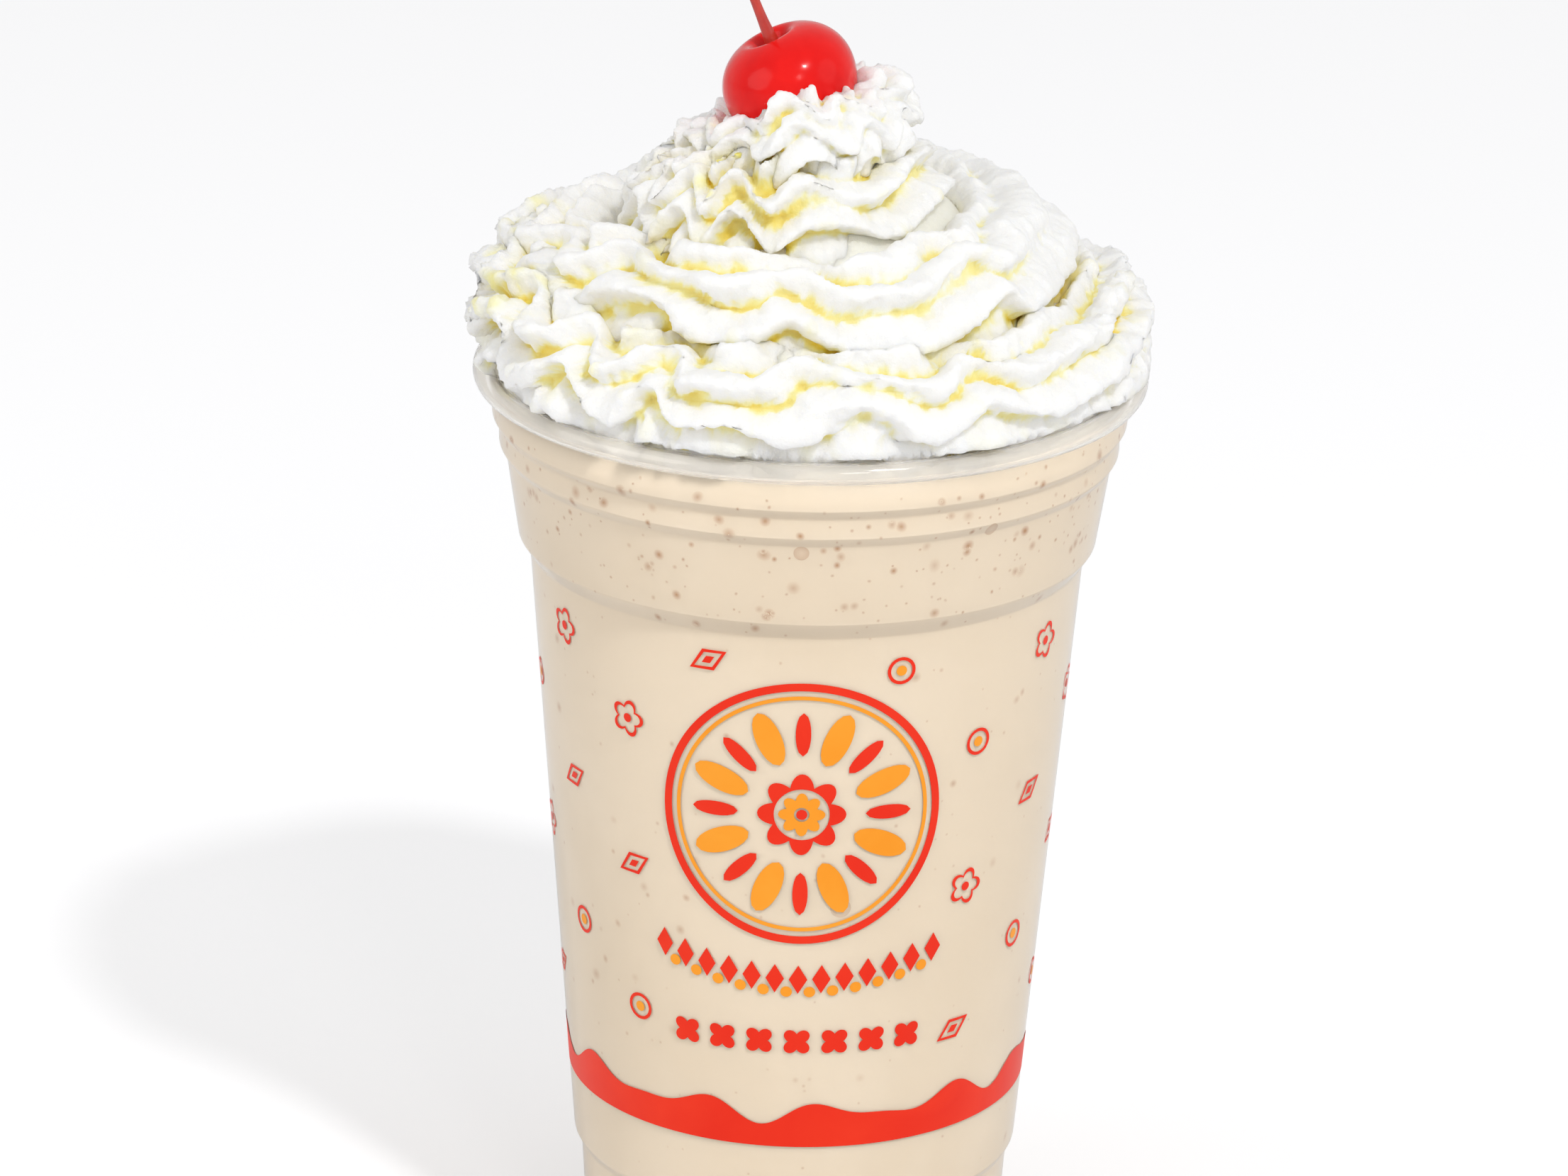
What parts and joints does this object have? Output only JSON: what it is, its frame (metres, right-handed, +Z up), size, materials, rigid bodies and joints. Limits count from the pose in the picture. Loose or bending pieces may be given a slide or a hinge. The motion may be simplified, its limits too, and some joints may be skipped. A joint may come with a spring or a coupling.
{
  "type": "milkshake in a cup",
  "caption": "Tall milkshake in a clear tapered cup with a curled lip, topped with piped whipped cream and a stemmed cherry.",
  "frame": {"origin": "centre of the ring that the cup stands on, at the height of the table", "axes": "+Z up along the cup's axis; -Y faces the viewer, the side with the cup's printed panel; the cherry leans towards -X"},
  "size_m": [0.1013, 0.1007, 0.2262],
  "materials": {
    "clear_plastic": "clear thermoformed plastic, glossy",
    "shake": "thick pale beige milkshake with fine brown specks, soft sheen",
    "cream": "whipped cream, white, matt with a fine porous grain",
    "cherry_flesh": "syrupy red maraschino cherry, wet gloss",
    "stem_red": "dyed red stem, satin",
    "print_red": "red ink printed on the plastic",
    "speck": "fine brown specks and small bubbles of the drink, seen through the cup's wall",
    "print_orange": "orange ink printed on the plastic"
  },
  "bodies": {
    "root": {"cup": "clear_plastic", "milkshake": "shake", "whipped_cream": "cream", "cherry": "cherry_flesh", "cherry_stem": "stem_red"}
  },
  "joints": []
}
